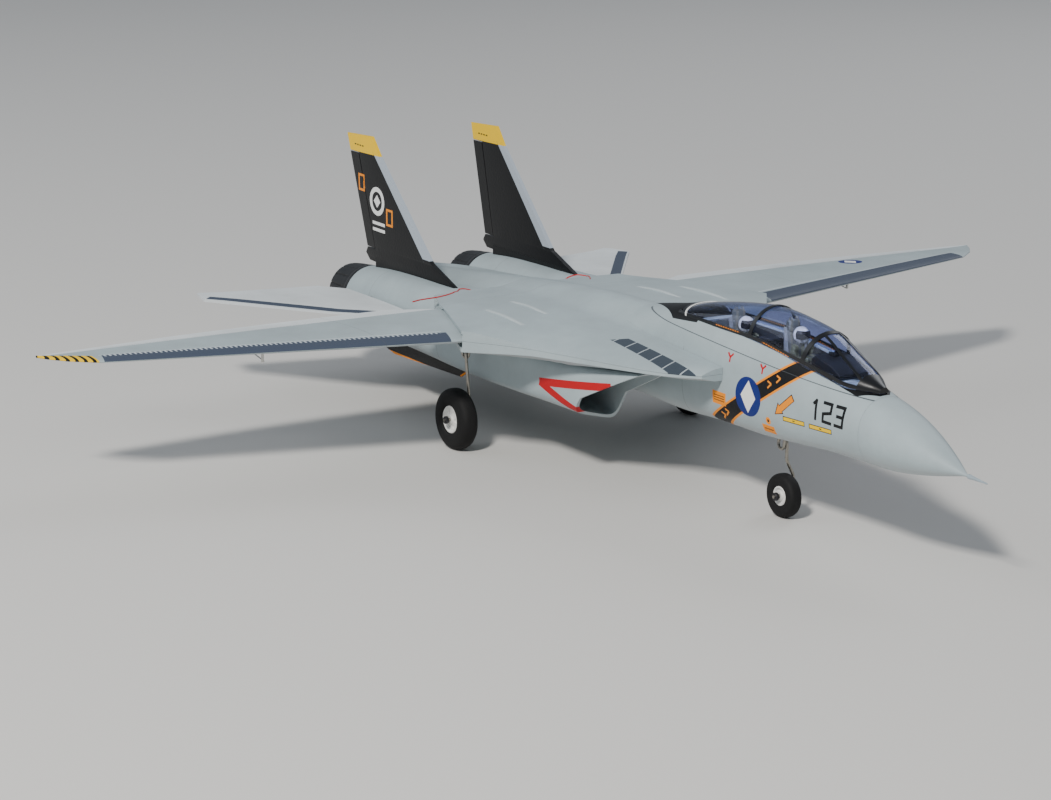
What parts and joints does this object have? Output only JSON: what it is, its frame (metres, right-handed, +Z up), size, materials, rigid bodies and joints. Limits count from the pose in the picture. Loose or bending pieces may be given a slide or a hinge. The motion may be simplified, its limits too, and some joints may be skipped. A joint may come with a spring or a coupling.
{
  "type": "radio-controlled jet plane",
  "caption": "Foam twin-fan model jet with swing wings, twin fins, moving tail surfaces, lift-off cockpit hatch and wire landing gear.",
  "frame": {"origin": "on the ground under the middle of the bounding box, with the wheels on z = 0", "axes": "+X to the nose, +Y to the left wing tip, +Z up"},
  "size_m": [1.276, 1.462, 0.3468],
  "materials": {
    "grey_foam": "satin paint over moulded foam",
    "white_foam": "satin paint over moulded foam",
    "black_foam": "satin paint over moulded foam",
    "steel_wire": "bright drawn wire",
    "wheel_foam": "dull foam rubber",
    "wheel_hub": "moulded",
    "smoked_canopy": "clear vacuum-formed sheet",
    "black_plastic": "moulded",
    "servo_plastic": "moulded",
    "white_plastic": "moulded",
    "cockpit_grey": "matt paint",
    "flight_suit": "matt paint",
    "battery_wrap": "shrink wrap",
    "motor_alloy": "turned"
  },
  "bodies": {
    "airframe": {"radome": "grey_foam", "pitot_probe": "white_plastic", "nose_fuselage": "grey_foam", "battery": "battery_wrap", "upper_shell": "grey_foam", "lower_shell": "grey_foam", "tail_deck": "grey_foam", "nose_gear_mount": "black_plastic", "nacelle_right": "grey_foam", "fan_housing_right": "black_plastic", "fan_motor_right": "motor_alloy", "nozzle_right": "black_foam", "wing_pivot_pin_right": "steel_wire", "fin_right": "black_foam", "ventral_fin_right": "black_foam", "main_gear_plate_right": "black_plastic", "main_strut_right": "steel_wire", "nacelle_left": "grey_foam", "fan_housing_left": "black_plastic", "fan_motor_left": "motor_alloy", "nozzle_left": "black_foam", "wing_pivot_pin_left": "steel_wire", "fin_left": "black_foam", "ventral_fin_left": "black_foam", "main_gear_plate_left": "black_plastic", "main_strut_left": "steel_wire"},
    "hatch": {"hatch_deck": "grey_foam", "cockpit_tub": "cockpit_grey", "canopy_glass": "smoked_canopy", "canopy_frame": "black_plastic", "coaming": "black_plastic", "seat_front": "cockpit_grey", "seat_rear": "cockpit_grey", "pilot_front": "flight_suit", "pilot_rear": "flight_suit"},
    "nose_leg": {"nose_strut": "steel_wire"},
    "nose_wheel": {"nose_tyre": "wheel_foam", "nose_hub": "wheel_hub"},
    "wing_right": {"wing_right": "grey_foam", "flap_servo_right": "servo_plastic"},
    "flap_right": {"flap_right": "white_foam"},
    "servo_arm_right": {"servo_arm_right": "white_plastic"},
    "push_rod_right": {"push_rod_right": "steel_wire"},
    "stabilator_right": {"stabilator_right": "white_foam", "stabilator_shaft_right": "steel_wire"},
    "rudder_right": {"rudder_right": "black_foam"},
    "fan_right": {"fan_rotor_right": "black_plastic"},
    "main_wheel_right": {"main_tyre_right": "wheel_foam", "main_hub_right": "wheel_hub"},
    "wing_left": {"wing_left": "grey_foam", "flap_servo_left": "servo_plastic"},
    "flap_left": {"flap_left": "white_foam"},
    "servo_arm_left": {"servo_arm_left": "white_plastic"},
    "push_rod_left": {"push_rod_left": "steel_wire"},
    "stabilator_left": {"stabilator_left": "white_foam", "stabilator_shaft_left": "steel_wire"},
    "rudder_left": {"rudder_left": "black_foam"},
    "fan_left": {"fan_rotor_left": "black_plastic"},
    "main_wheel_left": {"main_tyre_left": "wheel_foam", "main_hub_left": "wheel_hub"}
  },
  "joints": [
    {"name": "hatch_lift", "type": "slide", "parent": "airframe", "child": "hatch", "axis": [0, 0, 1], "range_m": [0, 0.06]},
    {"name": "nose_steer", "type": "hinge", "parent": "airframe", "child": "nose_leg", "pos_m": [0.276, 0, 0.08], "axis": [0, 0, 1], "range_deg": [-25, 25]},
    {"name": "nose_wheel_spin", "type": "hinge", "parent": "nose_leg", "child": "nose_wheel", "pos_m": [0.2776, 0, 0.027], "axis": [0, 1, 0], "continuous": true},
    {"name": "wing_sweep_right", "type": "hinge", "parent": "airframe", "child": "wing_right", "pos_m": [-0.1658, -0.187, 0.168], "axis": [0, 0, -1], "range_deg": [0, 48]},
    {"name": "flap_right_swing", "type": "hinge", "parent": "wing_right", "child": "flap_right", "pos_m": [-0.2474, -0.367, 0.168], "axis": [-0.0254, -0.9997, 0], "range_deg": [-12, 20]},
    {"name": "servo_arm_right_swing", "type": "hinge", "parent": "wing_right", "child": "servo_arm_right", "pos_m": [-0.19, -0.459, 0.159], "axis": [0, -1, 0], "range_deg": [-12, 20]},
    {"name": "push_rod_right_swing", "type": "hinge", "parent": "servo_arm_right", "child": "push_rod_right", "pos_m": [-0.19, -0.4568, 0.145], "axis": [0, -1, 0], "range_deg": [-20, 12]},
    {"name": "stabilator_right_pitch", "type": "hinge", "parent": "airframe", "child": "stabilator_right", "pos_m": [-0.475, -0.146, 0.136], "axis": [0, 1, 0], "range_deg": [-10, 10]},
    {"name": "rudder_right_swing", "type": "hinge", "parent": "airframe", "child": "rudder_right", "pos_m": [-0.5425, -0.0966, 0.19], "axis": [-0.3116, -0.0298, 0.9497], "range_deg": [-18, 18]},
    {"name": "fan_right_spin", "type": "hinge", "parent": "airframe", "child": "fan_right", "pos_m": [-0.314, -0.101, 0.118], "axis": [1, 0, 0], "continuous": true},
    {"name": "main_wheel_right_spin", "type": "hinge", "parent": "airframe", "child": "main_wheel_right", "pos_m": [-0.1774, -0.185, 0.04], "axis": [0, 1, 0], "continuous": true},
    {"name": "wing_sweep_left", "type": "hinge", "parent": "airframe", "child": "wing_left", "pos_m": [-0.1658, 0.187, 0.168], "axis": [0, 0, 1], "range_deg": [0, 48]},
    {"name": "flap_left_swing", "type": "hinge", "parent": "wing_left", "child": "flap_left", "pos_m": [-0.2474, 0.367, 0.168], "axis": [0.0254, -0.9997, 0], "range_deg": [-12, 20]},
    {"name": "servo_arm_left_swing", "type": "hinge", "parent": "wing_left", "child": "servo_arm_left", "pos_m": [-0.19, 0.459, 0.159], "axis": [0, -1, 0], "range_deg": [-12, 20]},
    {"name": "push_rod_left_swing", "type": "hinge", "parent": "servo_arm_left", "child": "push_rod_left", "pos_m": [-0.19, 0.4568, 0.145], "axis": [0, -1, 0], "range_deg": [-20, 12]},
    {"name": "stabilator_left_pitch", "type": "hinge", "parent": "airframe", "child": "stabilator_left", "pos_m": [-0.475, 0.146, 0.136], "axis": [0, 1, 0], "range_deg": [-10, 10]},
    {"name": "rudder_left_swing", "type": "hinge", "parent": "airframe", "child": "rudder_left", "pos_m": [-0.5425, 0.0966, 0.19], "axis": [-0.3116, 0.0298, 0.9497], "range_deg": [-18, 18]},
    {"name": "fan_left_spin", "type": "hinge", "parent": "airframe", "child": "fan_left", "pos_m": [-0.314, 0.101, 0.118], "axis": [1, 0, 0], "continuous": true},
    {"name": "main_wheel_left_spin", "type": "hinge", "parent": "airframe", "child": "main_wheel_left", "pos_m": [-0.1774, 0.185, 0.04], "axis": [0, 1, 0], "continuous": true}
  ],
  "couplings": [
    {"joint": "servo_arm_right_swing", "follows": "flap_right_swing", "ratio": 1},
    {"joint": "push_rod_right_swing", "follows": "flap_right_swing", "ratio": -1},
    {"joint": "servo_arm_left_swing", "follows": "flap_left_swing", "ratio": 1},
    {"joint": "push_rod_left_swing", "follows": "flap_left_swing", "ratio": -1},
    {"joint": "wing_sweep_left", "follows": "wing_sweep_right", "ratio": 1},
    {"joint": "rudder_left_swing", "follows": "rudder_right_swing", "ratio": 1}
  ]
}
